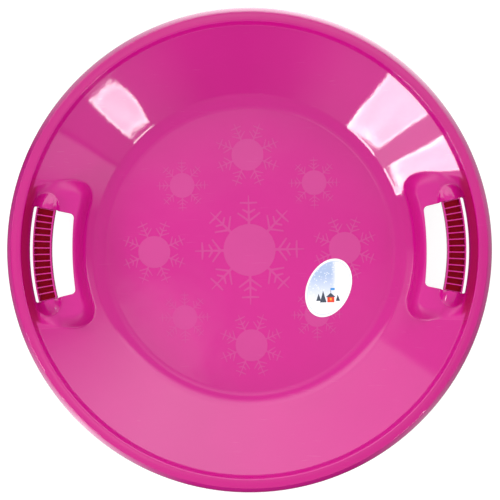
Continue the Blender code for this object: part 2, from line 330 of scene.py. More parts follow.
def around(radius, turn):
    """The point of the XY plane that lies at a radius and an angle from +X."""
    return Vector((radius * math.cos(turn), radius * math.sin(turn)))


def fillet(before, corner, after, radius, steps):
    """Points of the arc that rounds one corner of a profile."""
    to_before = (before - corner).normalized()
    to_after = (after - corner).normalized()
    half_angle = to_before.angle(to_after) / 2
    centre = corner + (to_before + to_after).normalized() * radius / math.sin(half_angle)
    spoke = corner + to_before * radius / math.tan(half_angle) - centre
    last_spoke = corner + to_after * radius / math.tan(half_angle) - centre
    sweep = spoke.angle_signed(last_spoke)
    return [
        centre + Matrix.Rotation(-sweep * step / steps, 2) @ spoke for step in range(steps + 1)
    ]


def rim_radii(pan):
    """Radii of the flat rim's inner and outer edges."""
    outer = pan.radius - pan.skirt_flare
    return outer - pan.rim_width, outer


# Steps of the arcs that round the profile: at the floor, at the step's foot and on the rim
FLOOR_STEPS = 8
FOOT_STEPS = 4
RIM_STEPS = 5


def pan_profile(pan):
    """The upper surface from the middle of the floor to the skirt's edge, as (radius, height)."""
    rim_inner_radius, rim_outer_radius = rim_radii(pan)
    middle = Vector((0.0, pan.wall))
    floor_edge = Vector((pan.floor_radius, pan.wall))
    side_top = Vector((rim_inner_radius - pan.step_run, pan.height - pan.step_rise))
    rim_inner = Vector((rim_inner_radius, pan.height))
    rim_outer = Vector((rim_outer_radius, pan.height))
    skirt_edge = Vector((pan.radius, pan.height - pan.skirt_drop))
    return [
        middle,
        *fillet(middle, floor_edge, side_top, pan.floor_fillet, FLOOR_STEPS),
        *fillet(floor_edge, side_top, rim_inner, pan.step_fillet, FOOT_STEPS),
        *fillet(side_top, rim_inner, rim_outer, pan.rim_fillet, RIM_STEPS),
        *fillet(rim_inner, rim_outer, skirt_edge, pan.rim_fillet, RIM_STEPS),
        skirt_edge,
    ]


def height_on(profile, radius):
    """The profile's height at a radius."""
    for inner, outer in zip(profile, profile[1:]):
        if radius <= outer.x:
            share = (radius - inner.x) / (outer.x - inner.x)
            return inner.y + share * (outer.y - inner.y)
    return profile[-1].y


# How a dome's slope grows outward: 2 for a steady curve, less for a steeper middle
DOME_POWER = 1.7


class PanShape:
    """Heights of the pan's upper surface, with its shelves and domes."""

    def __init__(self, scene):
        self.pan = scene.sled_pan
        self.shelf = scene.sled_shelf
        self.hole = scene.sled_hole
        self.grip = scene.sled_grip
        self.profile = pan_profile(self.pan)
        self.rim_inner_radius, self.rim_outer_radius = rim_radii(self.pan)
        self.trough_wall_radius = self.rim_inner_radius - self.shelf.trough_wall
        self.hole_half_angle = self.hole.half_length / self.grip.middle_radius
        self.shelf_end_angle = math.asin(self.shelf.half_length / self.shelf.foot_radius)

    def rise(self, radius, from_middle):
        """How far the slope round a shelf has risen at a point: 0 at its foot, 1 on the shelf.

        It starts gently over foot_round, and is inner_run wide along the shelf's inner side,
        end_run wide along its ends, and between the two on the rounded corner.
        """
        shelf = self.shelf
        corner = shelf.inner_corner
        from_side = radius - shelf.foot_radius
        from_end = shelf.half_length - shelf.end_bend * max(from_side - corner, 0.0) ** 2
        from_end -= radius * math.sin(from_middle)
        beyond = Vector((max(corner - from_side, 0.0), max(corner - from_end, 0.0)))
        if beyond.length == 0.0:
            return 1.0
        run = shelf.inner_run
        run += (shelf.end_run - shelf.inner_run) * (beyond.y / beyond.length) ** 2
        inside = max(corner - beyond.length, 0.0)
        if inside < shelf.foot_round:
            inside *= inside / shelf.foot_round / 2
        else:
            inside -= shelf.foot_round / 2
        share = min(inside / (run - shelf.foot_round / 2), 1.0)
        return share * (2 - share)

    def shelf_level(self, radius, side):
        """Height of the shelf's surface: a slope, a level trough, and a wall up to the rim."""
        shelf = self.shelf
        level = self.pan.height - shelf.drop
        level += (radius - self.grip.middle_radius) * math.tan(shelf.tilt)
        trough = self.pan.height - shelf.trough_drop
        if radius < self.trough_wall_radius:
            return min(level, trough)
        climb = (radius - self.trough_wall_radius) / shelf.trough_wall
        return min(trough + climb * shelf.trough_drop, side)

    def dome(self, radius, from_middle):
        """How far a dome stands above its shelf."""
        shelf = self.shelf
        past_hole = max(from_middle - self.hole_half_angle, 0.0) * self.grip.middle_radius
        across = radius - self.grip.middle_radius - shelf.dome_offset
        spread = math.hypot(past_hole / shelf.dome_length, across / shelf.dome_width)
        return shelf.dome_rise * max(1.0 - spread**DOME_POWER, 0.0)

    def height(self, radius, turn):
        """Height of the surface at a radius and an angle from +X."""
        from_middle = abs(math.remainder(turn, math.pi))
        side = height_on(self.profile, radius)
        if radius < self.shelf.foot_radius or from_middle > self.shelf_end_angle:
            return side
        height = side + self.rise(radius, from_middle) * (self.shelf_level(radius, side) - side)
        return height + self.dome(radius, from_middle)


# Fineness of the pan's mesh: its columns, its rows, where the side's own rows start outside the
# floor's edge, and how close two rows may come
COLUMNS_NEAR_SHELF = 108
COLUMNS_BETWEEN = 28
SIDE_ROWS = 3
SHELF_ROWS = 54
TROUGH_WALL_ROWS = 6
SIDE_ROWS_START = 0.010
CLOSEST_ROWS = 0.00025

# Fineness of the holes' edges, corners and lips
HOLE_STEPS = 40
OUTER_CORNER_STEPS = 6
INNER_CORNER_STEPS = 10
LIP_STEPS = 4

# A cutter's reach past the wall, its flare there as a share of the lip, and the share of the
# hole's length past which an edge is left sharp for the bar
CUTTER_REACH = 0.030
CUTTER_FLARE = 1.2
BAR_END_SHARE = 0.98


def row_radii(shape):
    """Radii of the pan's rings of vertices: the profile's own and those that the shelves need."""
    radii = [point.x for point in shape.profile]
    foot = shape.shelf.foot_radius
    radii += evenly(shape.pan.floor_radius + SIDE_ROWS_START, foot, SIDE_ROWS)
    radii += evenly(foot, shape.trough_wall_radius, SHELF_ROWS)
    radii += evenly(shape.trough_wall_radius, shape.rim_inner_radius, TROUGH_WALL_ROWS)
    radii.sort()
    return [radii[0]] + [
        radius for previous, radius in zip(radii, radii[1:]) if radius - previous > CLOSEST_ROWS
    ]


def column_turns(shape):
    """Angles of the pan's columns of vertices, closest together at the shelves."""
    quarter = evenly(0.0, shape.shelf_end_angle, COLUMNS_NEAR_SHELF)[:-1]
    quarter += evenly(shape.shelf_end_angle, RIGHT_ANGLE, COLUMNS_BETWEEN)[:-1]
    half = quarter + [math.pi - turn for turn in reversed(quarter[1:] + [RIGHT_ANGLE])]
    return half + [turn + math.pi for turn in half]


def draw_line(name, points):
    """A line of edges through the points, drawn by extruding one vertex."""
    line = added(bpy.ops.mesh.primitive_plane_add, name, size=0.001)
    edit(line, "VERT", "SELECT")
    bpy.ops.mesh.merge(type="CENTER")
    bpy.ops.transform.translate(value=points[0])
    for previous, point in zip(points, points[1:]):
        extrude(Vector(point) - Vector(previous))
    done()
    return line


def turned_sheet(shape):
    """The pan's upper surface, turned from its profile, with its columns and heights set."""
    turns = column_turns(shape)
    sheet = draw_line("pan_moulding", [
        (radius, 0.0, height_on(shape.profile, radius)) for radius in row_radii(shape)
    ])
    edit(sheet, "VERT", "SELECT")
    bpy.ops.mesh.spin(
        steps=len(turns), angle=math.tau, center=(0.0, 0.0, 0.0), axis=(0.0, 0.0, 1.0)
    )
    done()
    recalculate(sheet)
    for vertex in sheet.data.vertices:
        radius = vertex.co.xy.length
        if radius < CLOSEST_ROWS:
            continue
        column = round(math.atan2(vertex.co.y, vertex.co.x) % math.tau / math.tau * len(turns))
        turn = turns[column % len(turns)]
        vertex.co = (*around(radius, turn), shape.height(radius, turn))
    return sheet


def arc(middle, radius, first_turn, last_turn, steps):
    """Points on an arc round a place on the X axis, both ends included."""
    return [
        Vector((middle + radius * math.cos(turn), radius * math.sin(turn)))
        for turn in evenly(first_turn, last_turn, steps)
    ]


def hole_outline(shape):
    """Outline of the hand hole across +X, counter-clockwise."""
    hole = shape.hole
    half = shape.hole_half_angle
    bend_middle = hole.inner_radius - hole.inner_bend
    reach = bend_middle * math.cos(half) + math.sqrt(
        hole.inner_bend**2 - (bend_middle * math.sin(half)) ** 2
    )
    inner_half = math.atan2(reach * math.sin(half), reach * math.cos(half) - bend_middle)
    outer = arc(0.0, hole.outer_radius, -half, half, HOLE_STEPS)
    inner = arc(bend_middle, hole.inner_bend, inner_half, -inner_half, HOLE_STEPS)
    outer_skip = 1 + int(hole.outer_corner / (outer[1] - outer[0]).length)
    inner_skip = 1 + int(hole.inner_corner / (inner[1] - inner[0]).length)
    return [
        *outer[outer_skip:-outer_skip],
        *fillet(outer[-2], outer[-1], inner[0], hole.outer_corner, OUTER_CORNER_STEPS),
        *fillet(outer[-1], inner[0], inner[1], hole.inner_corner, INNER_CORNER_STEPS),
        *inner[inner_skip:-inner_skip],
        *fillet(inner[-2], inner[-1], outer[0], hole.inner_corner, INNER_CORNER_STEPS),
        *fillet(inner[-1], outer[0], outer[1], hole.outer_corner, OUTER_CORNER_STEPS),
    ]


def hole_cutter(shape, side):
    """A plug the size of a hand hole, flared where it meets the wall's two faces.

    Its flares follow the pan's surface, so they round the hole's edges as they cut them.
    """
    lip = shape.hole.lip
    bar_inner_radius = shape.grip.middle_radius - shape.grip.width / 2 - lip
    outline = hole_outline(shape)
    upper = [(lip * CUTTER_FLARE, CUTTER_REACH)]
    for turn in evenly(0.0, RIGHT_ANGLE, LIP_STEPS):
        upper.append((lip * (1 - math.sin(turn)), -lip * (1 - math.cos(turn))))
    levels = upper + [(out, -shape.pan.wall - drop) for out, drop in reversed(upper)]
    vertices = []
    for out, drop in levels:
        for index, point in enumerate(outline):
            along = outline[(index + 1) % len(outline)] - outline[index - 1]
            outward = Vector((along.y, -along.x)).normalized()
            turn = math.atan2(point.y, point.x)
            beside_bar = point.length > bar_inner_radius
            at_bar_end = beside_bar and abs(turn) > shape.hole_half_angle * BAR_END_SHARE
            place = point if at_bar_end else point + outward * out
            vertices.append((*place, shape.height(point.length, turn) + drop))
    size = len(outline)
    faces = [tuple(range(size)), tuple(range(len(vertices) - size, len(vertices)))[::-1]]
    for ring in range(0, len(vertices) - size, size):
        for i in range(size):
            after = (i + 1) % size
            faces.append((ring + i, ring + after, ring + size + after, ring + size + i))
    mesh = bpy.data.meshes.new("hole")
    mesh.from_pydata(vertices, [], faces)
    cutter = bpy.data.objects.new("hole", mesh)
    bpy.context.scene.collection.objects.link(cutter)
    mesh.transform(Matrix.Rotation(side, 4, "Z"))
    recalculate(cutter)
    smooth(cutter, 40)
    return cutter


# Materials


# Each plastic's roughness, depth of ripple and amount of scuffs
PAN_FINISH = (0.035, 0.16, 1.0)
FLAKE_FINISH = (0.2, 0.16, 1.0)
GRIP_FINISH = (0.12, 0.03, 0.3)
LABEL_FINISH = (0.22, 0.04, 0.0)

# Roughness of the pan's satin shelves and of the grips' cells
SATIN = 0.42
CELL_ROUGHNESS = 0.9

# The scuffs' color, how strongly it shows, and how much rougher they are
SCUFF_COLOR = (0.86, 0.42, 0.62, 1.0)
SCUFF_PALENESS = 0.35
SCUFF_ROUGHNESS = 0.3

# How far the satin takes to fade out, in metres or radians
FADE = 0.002

# Between which values most of a noise lies
NOISE_RANGE = (0.3, 0.7)

# The painted shade on the steep wall beside a hand hole, where little light falls: between which
# sines of the angle from the hole's middle, and which upwardness, it sets in; how far above the
# wall's foot it is full, and how far below its top it sets in and is full
RECESS_SHADE_SIDE = (0.40, 0.27)
RECESS_SHADE_SLOPE = (0.80, 0.55)
RECESS_SHADE_FOOT = 0.0030
RECESS_SHADE_TOP = (0.0002, 0.0012)

# The share of painted shade on the flat rim, and over which widths it sets in and fades out there
RIM_SHADE = 0.25
RIM_SHADE_START = 0.0015
RIM_SHADE_END = 0.0010

# The painted shade in the grips' cells, a deep red that stands in for their dim, reddened light:
# how far below the bar's top, and at which upwardness, it sets in
CELL_SHADE_DEPTH = (0.0005, 0.0040)
CELL_SHADE_SLOPE = (0.3, 0.7)


def new_material(name):
    """A material with nodes, its node tree and its Principled BSDF."""
    material = bpy.data.materials.new(name)
    material.use_nodes = True
    return material, material.node_tree, material.node_tree.nodes["Principled BSDF"]


def add_node(tree, kind, inputs=(), **settings):
    """A node with its settings, and its inputs set to values or linked to sockets."""
    node = tree.nodes.new(kind)
    for key, value in settings.items():
        setattr(node, key, value)
    for key, value in dict(inputs).items():
        if isinstance(value, bpy.types.NodeSocket):
            tree.links.new(value, node.inputs[key])
        else:
            node.inputs[key].default_value = value
    return node


def maths(operation, first, second=0.0):
    """A socket with the result of a sum on two numbers, at least one of them a socket."""
    tree = (first if isinstance(first, bpy.types.NodeSocket) else second).id_data
    return add_node(tree, "ShaderNodeMath", {0: first, 1: second}, operation=operation).outputs[0]


def product(result, *factors):
    for factor in factors:
        result = maths("MULTIPLY", result, factor)
    return result


def mapped(value, low, high, first=0.0, last=1.0, gentle=False):
    """A socket that runs from first to last as value runs from low to high."""
    return add_node(
        value.id_data, "ShaderNodeMapRange", {0: value, 1: low, 2: high, 3: first, 4: last},
        interpolation_type="SMOOTHSTEP" if gentle else "LINEAR"
    ).outputs[0]


def mixed(share, first, second, kind="FLOAT"):
    """A socket with the number or color that lies a share of the way from first to second."""
    inputs = {"Factor": share, "A": first, "B": second}
    return add_node(share.id_data, "ShaderNodeMix", inputs, data_type=kind).outputs["Result"]


def blended(share, first, second):
    """A socket with a mix of two colors."""
    return mixed(share, first, second, "RGBA")


def flat_length(x, y):
    squares = maths("ADD", maths("MULTIPLY", x, x), maths("MULTIPLY", y, y))
    return maths("SQRT", squares)


def object_place(tree):
    return tree.nodes.new("ShaderNodeTexCoord").outputs["Object"]


def parts_of(vector):
    """The X, Y and Z sockets of a vector."""
    return add_node(vector.id_data, "ShaderNodeSeparateXYZ", {0: vector}).outputs


def upwardness(tree):
    """A socket that is 1 on faces that look up, 0 on upright ones and -1 underneath."""
    return parts_of(tree.nodes.new("ShaderNodeNewGeometry").outputs["Normal"])["Z"]


def moulded_plastic_group():
    """Node group: the small unevenness of a moulded plastic surface."""
    name = "moulded plastic"
    if name in bpy.data.node_groups:
        return bpy.data.node_groups[name]
    group = bpy.data.node_groups.new(name, "ShaderNodeTree")
    for title, direction, kind in (
        ("Color", "INPUT", "Color"), ("Roughness", "INPUT", "Float"),
        ("Ripple", "INPUT", "Float"), ("Scuffs", "INPUT", "Float"),
        ("Color", "OUTPUT", "Color"), ("Roughness", "OUTPUT", "Float"),
        ("Normal", "OUTPUT", "Vector"),
    ):
        group.interface.new_socket(title, in_out=direction, socket_type="NodeSocket" + kind)
    given = group.nodes.new("NodeGroupInput").outputs
    result = group.nodes.new("NodeGroupOutput").inputs
    place = object_place(group)

    def noise(scale, detail, vector=place):
        inputs = {"Vector": vector, "Scale": scale, "Detail": detail}
        return add_node(group, "ShaderNodeTexNoise", inputs).outputs["Fac"]

    # Soft mottling of the tone
    mottle = mapped(noise(scale=9.0, detail=3.0), *NOISE_RANGE, 0.975, 1.025)
    tone = add_node(group, "ShaderNodeHueSaturation", {"Color": given["Color"], "Value": mottle})

    # Hair-thin scuffs in patches, most of them underneath
    stretch = add_node(group, "ShaderNodeMapping", {
        "Vector": place, "Scale": (35.0, 420.0, 90.0), "Rotation": (0.0, 0.0, math.radians(24.0))})
    hairs = noise(scale=1.0, detail=2.0, vector=stretch.outputs["Vector"])
    scratches = product(
        mapped(hairs, 0.66, 0.74), mapped(noise(scale=14.0, detail=2.0), 0.48, 0.62),
        mapped(upwardness(group), 0.1, -0.3, 0.12, 1.0), given["Scuffs"]
    )
    pale = maths("MULTIPLY", scratches, SCUFF_PALENESS)
    scuffed = blended(pale, tone.outputs["Color"], SCUFF_COLOR)
    group.links.new(scuffed, result["Color"])

    # Fine grain in the gloss, and dull scuffs
    grain = mapped(noise(scale=260.0, detail=2.0), *NOISE_RANGE, -0.015, 0.015)
    worn = maths("ADD", grain, maths("MULTIPLY", scratches, SCUFF_ROUGHNESS))
    dull = maths("ADD", given["Roughness"], worn)
    group.links.new(maths("MAXIMUM", dull, 0.02), result["Roughness"])

    # Slow waves of the moulding, under a fine grain cut by the scuffs
    small_waves = maths("MULTIPLY", noise(scale=75.0, detail=2.0), 0.16)
    waves = maths("ADD", noise(scale=18.0, detail=1.0), small_waves)
    ripple = add_node(group, "ShaderNodeBump", {
        "Distance": 0.001, "Strength": given["Ripple"], "Height": waves})
    relief = maths("SUBTRACT", noise(scale=1500.0, detail=1.0), scratches)
    fine = add_node(group, "ShaderNodeBump", {
        "Distance": 0.00002, "Strength": 0.2, "Normal": ripple.outputs["Normal"],
        "Height": relief})
    group.links.new(fine.outputs["Normal"], result["Normal"])
    return group


def plastic(name, tint, finish):
    """Moulded plastic. Returns the material, its node tree and the inputs of its surface."""
    material, tree, shader = new_material(name)
    roughness, ripple, scuffs = finish
    surface = add_node(tree, "ShaderNodeGroup", {
        "Color": (*tint, 1.0), "Roughness": roughness, "Ripple": ripple, "Scuffs": scuffs},
        node_tree=moulded_plastic_group())
    for output, target in zip(surface.outputs, ("Base Color", "Roughness", "Normal")):
        tree.links.new(output, shader.inputs[target])
    shader.inputs["IOR"].default_value = 1.5
    return material, tree, surface.inputs


def shelf_mask(shape, x, y, radius):
    """A socket that is 1 on the two shelves, except on their domes."""
    shelf = shape.shelf
    aside = maths("ABSOLUTE", y)
    turn = maths("ARCTAN2", aside, maths("ABSOLUTE", x))
    past_hole = mapped(
        turn, shape.hole_half_angle, shape.hole_half_angle + 1.0, 0.0,
        shape.grip.middle_radius / shelf.dome_length
    )
    dome_radius = shape.grip.middle_radius + shelf.dome_offset
    across = maths("DIVIDE", maths("SUBTRACT", radius, dome_radius), shelf.dome_width)
    beyond_dome = mapped(flat_length(past_hole, across), 1.0, 1.04)
    beside_hole = mapped(turn, shape.hole_half_angle, shape.hole_half_angle - FADE)
    corner = shelf.inner_corner
    from_side = maths("SUBTRACT", shelf.foot_radius + corner, radius)
    from_end = maths("SUBTRACT", aside, shelf.half_length - corner)
    out = flat_length(maths("MAXIMUM", from_side, 0.0), maths("MAXIMUM", from_end, 0.0))
    return product(
        maths("MAXIMUM", beyond_dome, beside_hole),
        mapped(out, corner, corner - FADE),
        mapped(radius, shape.rim_inner_radius, shape.rim_inner_radius - FADE)
    )


def pan_plastic(shape, colors):
    """The pan's plastic: satin shelves, and painted shade by the hand holes and on the rim."""
    material, tree, surface = plastic("pink plastic", colors.pink, PAN_FINISH)
    x, y = parts_of(object_place(tree))[:2]
    radius = flat_length(x, y)
    wall_foot = shape.trough_wall_radius
    wall_top = shape.rim_inner_radius
    sideways = maths("DIVIDE", maths("ABSOLUTE", y), radius)
    upward = upwardness(tree)
    above = mapped(upward, 0.0, 0.1)
    # Painted shade on the steep wall beside each hand hole, where little light falls
    recess = product(
        mapped(radius, wall_foot, wall_foot + RECESS_SHADE_FOOT),
        mapped(radius, *(wall_top - drop for drop in RECESS_SHADE_TOP)),
        mapped(sideways, *RECESS_SHADE_SIDE, gentle=True),
        mapped(upward, *RECESS_SHADE_SLOPE), above
    )
    # Painted shade on the flat rim, a lighter share of the wall's darker colour
    rim = product(
        mapped(radius, wall_top, wall_top + RIM_SHADE_START, 0.0, RIM_SHADE),
        mapped(radius, shape.rim_outer_radius + RIM_SHADE_END, shape.rim_outer_radius), above
    )
    # Both masks are painted shade, mixed toward the darker colour
    painted_shade = maths("MAXIMUM", recess, rim)
    tint = blended(painted_shade, (*colors.pink, 1.0), (*colors.recess, 1.0))
    tree.links.new(tint, surface["Color"])
    satin = shelf_mask(shape, x, y, radius)
    dull = mixed(satin, surface["Roughness"].default_value, SATIN)
    tree.links.new(dull, surface["Roughness"])
    return material


def grip_plastic(name, tint, cell_shade_tint, grip):
    """Plastic that turns dull down in the cells, with painted shade there in deep red."""
    material, tree, surface = plastic(name, tint, GRIP_FINISH)
    height = parts_of(object_place(tree))["Z"]
    depth = mapped(height, *(grip.top - drop for drop in CELL_SHADE_DEPTH))
    inside = maths("MULTIPLY", depth, mapped(upwardness(tree), *CELL_SHADE_SLOPE))
    # Painted shade: deep red in the cells, standing in for the shade there
    painted_shade = blended(inside, (*tint, 1.0), (*cell_shade_tint, 1.0))
    tree.links.new(painted_shade, surface["Color"])
    dull = mixed(inside, surface["Roughness"].default_value, CELL_ROUGHNESS)
    tree.links.new(dull, surface["Roughness"])
    return material


# The label's sky, in metres from the label's middle: where it fades in from the right, and from
# which height to which it goes from its first share to its last
SKY_SIDE = (0.013, 0.003)
SKY_RISE = (-0.020, 0.016, 0.12, 1.0)

# Its falling snow: flecks per metre, and each fleck's edge, core and whiteness at both
SNOW_SCALE = 300.0
SNOW_FLECKS = (0.26, 0.18, 0.0, 0.75)

# The thin line on the white border: its strength, and its width and soft edge as shares of the
# label's reach
BORDER_LINE = 0.6
BORDER_LINE_WIDTH = 0.025
BORDER_FADE = 0.005

# Printed shapes on the label, from back to front: their color, whether they taper to a point,
# and middle, foot, half width and height, in metres from the label's middle
LABEL_SHAPES = (
    ("pine", True, -0.0130, -0.0165, 0.0032, 0.0095),
    ("pine", True, -0.0072, -0.0185, 0.0042, 0.0150),
    ("pine", True, 0.0115, -0.0170, 0.0028, 0.0085),
    ("pine", False, 0.0026, -0.0080, 0.0003, 0.0075),
    ("blue", False, 0.0052, -0.0029, 0.0026, 0.0026),
    ("roof", False, 0.0025, -0.0185, 0.0045, 0.0070),
    ("pine", True, 0.0025, -0.0118, 0.0062, 0.0055),
    ("lamp", False, 0.0025, -0.0160, 0.0013, 0.0030),
)


def label_plastic(settings, colors):
    """Printed film: a hut among pines on snow, under a pale sky with snowflakes falling."""
    material, tree, surface = plastic("label film", colors.snow, LABEL_FINISH)
    middle, long_axis, short_axis = label_frame()
    place = object_place(tree)
    x, y = parts_of(place)[:2]
    right = maths("SUBTRACT", x, middle.x)
    up = maths("SUBTRACT", y, middle.y)
    snow = (*colors.snow, 1.0)
    sky = (*colors.sky, 1.0)

    clear = mapped(right, *SKY_SIDE, gentle=True)
    picture = blended(product(clear, mapped(up, *SKY_RISE)), snow, sky)
    falling = add_node(tree, "ShaderNodeTexVoronoi", {"Vector": place, "Scale": SNOW_SCALE})
    flecks = mapped(falling.outputs["Distance"], *SNOW_FLECKS)
    picture = blended(flecks, picture, snow)
    for tint, tapers, centre, foot, half_width, rise in LABEL_SHAPES:
        aside = maths("ABSOLUTE", maths("SUBTRACT", right, centre))
        last_width = 0.0 if tapers else half_width
        width = mapped(up, foot, foot + rise, half_width, last_width)
        inside = product(
            maths("LESS_THAN", aside, width), maths("GREATER_THAN", up, foot),
            maths("LESS_THAN", up, foot + rise)
        )
        picture = blended(inside, picture, (*getattr(colors, tint), 1.0))

    def along(axis):
        across = maths("MULTIPLY", right, axis.x / axis.length_squared)
        return maths("ADD", across, maths("MULTIPLY", up, axis.y / axis.length_squared))

    out = flat_length(along(long_axis), along(short_axis))
    edge = 1 - settings.border / short_axis.length
    line_end = edge + BORDER_LINE_WIDTH
    picture = blended(mapped(out, edge, edge + 2 * BORDER_FADE), picture, snow)
    line = product(
        mapped(out, edge, edge + BORDER_FADE), mapped(out, line_end + BORDER_FADE, line_end),
        BORDER_LINE
    )
    picture = blended(line, picture, sky)
    tree.links.new(picture, surface["Color"])
    return material


# Grips


def ribbed_channel(grip, half_span, name):
    """A straight bar along Y: rails, ribs and end walls round a row of cells open upward."""
    lines = 2 * grip.cells + 1
    side = grip.width / 2
    grid = {"x_subdivisions": 3, "y_subdivisions": lines, "size": 2.0}
    bar = added(bpy.ops.mesh.primitive_grid_add, name, **grid)
    across = [-side, grip.rail - side, side - grip.rail, side]
    along = []
    for start in evenly(-half_span, half_span - grip.rib, grip.cells):
        along += [start, start + grip.rib]
    along[1] = -half_span + grip.end_wall
    along[-2] = half_span - grip.end_wall
    for vertex in bar.data.vertices:
        column = round((vertex.co.x + 1) / 2 * 3)
        row = round((vertex.co.y + 1) / 2 * lines)
        vertex.co = (across[column], along[row], grip.top)

    def on_border(edge):
        ends = [bar.data.vertices[i].co for i in edge.vertices]
        beside = all(abs(end.x) > side - WELD for end in ends)
        return beside or all(abs(end.y) > half_span - WELD for end in ends)

    def open_cell(face):
        x, y, z = face.center
        row = sum(1 for value in along if value < y) - 1
        return z > grip.top - WELD and abs(x) < side - grip.rail and row % 2 == 1

    choose(bar, "EDGE", on_border)
    extrude((0.0, 0.0, -grip.depth))
    bpy.ops.mesh.edge_face_add()
    done()
    choose(bar, "FACE", open_cell)
    extrude((0.0, 0.0, grip.floor - grip.depth))
    done()
    return bar


def add_plugs(bar, grip, half_span):
    """Draws a thinner plug out of each end of the straight bar."""
    choose(bar, "FACE", lambda face: abs(face.center.y) > half_span - WELD)
    bpy.ops.mesh.inset(thickness=grip.plug_inset, depth=0.0, use_boundary=True)
    done()
    for vertex in bar.data.vertices:
        if vertex.select and vertex.co.z > grip.top - grip.depth / 2:
            vertex.co.z = grip.top - grip.plug_drop
    bpy.ops.object.mode_set(mode="EDIT")
    bpy.ops.mesh.extrude_region_shrink_fatten(
        TRANSFORM_OT_shrink_fatten={"value": grip.plug_length}
    )
    done()
    recalculate(bar)


def round_bottom(bar, grip):
    """Rounds the two long edges under the straight bar."""

    def long_bottom_edge(edge):
        ends = [bar.data.vertices[i].co for i in edge.vertices]
        lowest = all(end.z < grip.top - grip.depth + WELD for end in ends)
        return lowest and all(abs(abs(end.x) - grip.width / 2) < WELD for end in ends)

    choose(bar, "EDGE", long_bottom_edge)
    bpy.ops.mesh.bevel(offset=grip.bottom_round, segments=7, affect="EDGES")
    done()


def make_bar(shape, side, name):
    """One ribbed bar with a plug at each end, bent along its arc."""
    grip = shape.grip
    half_span = shape.hole_half_angle * grip.middle_radius - grip.gap
    bar = ribbed_channel(grip, half_span, name)
    add_plugs(bar, grip, half_span)
    round_bottom(bar, grip)
    bevel(bar, grip.edge_round, 50)
    for vertex in bar.data.vertices:
        turn = side + vertex.co.y / grip.middle_radius
        vertex.co.xy = around(grip.middle_radius + vertex.co.x, turn)
    recalculate(bar)
    smooth(bar, 35)
    return bar


# Snowflakes


# Shape of a snowflake, as shares of its reach: the disc's radius, where the stems start, the
# widths, and for each pair of barbs where it leaves the stem and how far its tips lie along the
# stem and out from it
FLAKE_ARMS = 8
DISC_SHARE = 0.476
STEM_START = 0.44
STEM_WIDTH = 0.050
BARB_WIDTH = 0.040
BARBS = ((0.531, 0.683, 0.207), (0.678, 0.747, 0.117), (0.861, 0.868, 0.159))

# Width of a stem's and a barb's tip, as a share of its width at the root
STEM_TAPER = 0.35
BARB_TAPER = 0.7


def strip(start, end, width, taper, low, high):
    """A thin tapered bar between two points of the XY plane."""
    bar = added(bpy.ops.mesh.primitive_cube_add, "strip", size=1.0)
    run = end - start
    turn = Matrix.Rotation(math.atan2(run.y, run.x), 4, "Z")
    middle = (start + end) / 2
    for vertex in bar.data.vertices:
        vertex.co.y *= width if vertex.co.x < 0 else width * taper
        vertex.co.x *= run.length
        vertex.co.z = low if vertex.co.z < 0 else high
    bar.data.transform(Matrix.Translation((*middle, 0.0)) @ turn)
    return bar


def make_flake(reach, turn, low, high):
    """One snowflake round the origin: a disc with eight barbed arms."""
    stem = Vector((STEM_START * reach, 0.0)), Vector((reach, 0.0))
    arm = strip(*stem, STEM_WIDTH * reach, STEM_TAPER, low, high)
    for root, tip, out in BARBS:
        for side in (-1, 1):
            barb = Vector((root * reach, 0.0)), Vector((tip * reach, side * out * reach))
            cut(arm, strip(*barb, BARB_WIDTH * reach, BARB_TAPER, low, high), "UNION")
    flake = added(
        bpy.ops.mesh.primitive_cylinder_add, "flake", vertices=96, radius=DISC_SHARE * reach,
        depth=high - low, location=(0.0, 0.0, (low + high) / 2)
    )
    settle(flake)
    for index in range(FLAKE_ARMS):
        spin = Matrix.Rotation(index * math.tau / FLAKE_ARMS + turn, 4, "Z")
        cut(flake, moved_copy(arm, spin), "UNION")
    bpy.data.objects.remove(arm)
    return flake


# Label


def label_frame():
    """The label's middle, its long half axis and its short half axis, from the CAD node."""
    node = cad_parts["oval_label"]
    points = [vertex.co.xy for vertex in node.data.vertices]
    middle = sum(points, Vector((0.0, 0.0))) / len(points)
    long_end = max(points, key=lambda point: (point - middle).length)
    long_axis = long_end - middle
    if long_axis.y < 0:
        long_axis = -long_axis
    short_reach = min((point - middle).length for point in points)
    short_axis = Vector((long_axis.y, -long_axis.x)).normalized() * short_reach
    return middle, long_axis, short_axis


# Operators


class SLED_OT_pan(bpy.types.Operator):
    """Turns the pan, shapes its shelves and cuts its hand holes"""

    bl_idname = "sled.pan"
    bl_label = "Pan"

    def execute(self, context):
        shape = PanShape(context.scene)
        pan = turned_sheet(shape)
        wall = pan.modifiers.new("wall", "SOLIDIFY")
        wall.thickness = shape.pan.wall
        wall.offset = -1.0
        bevel(pan, shape.pan.edge_round, 60)
        for side in (0.0, math.pi):
            cut(pan, hole_cutter(shape, side))
        smooth(pan, 38)
        hand_over(pan, pan_plastic(shape, context.scene.sled_color), ["pan"])
        return {"FINISHED"}


class SLED_OT_grips(bpy.types.Operator):
    """Makes the two ribbed grip bars"""

    bl_idname = "sled.grips"
    bl_label = "Grips"

    def execute(self, context):
        shape = PanShape(context.scene)
        colors = context.scene.sled_color
        for name, side in (("right_grip", 0.0), ("left_grip", math.pi)):
            bar = make_bar(shape, side, name + "_bar")
            title = name.replace("_", " ") + " plastic"
            # The cells' deep red is painted shade
            material = grip_plastic(title, colors.pink, colors.cell, shape.grip)
            hand_over(bar, material, [name])
        return {"FINISHED"}


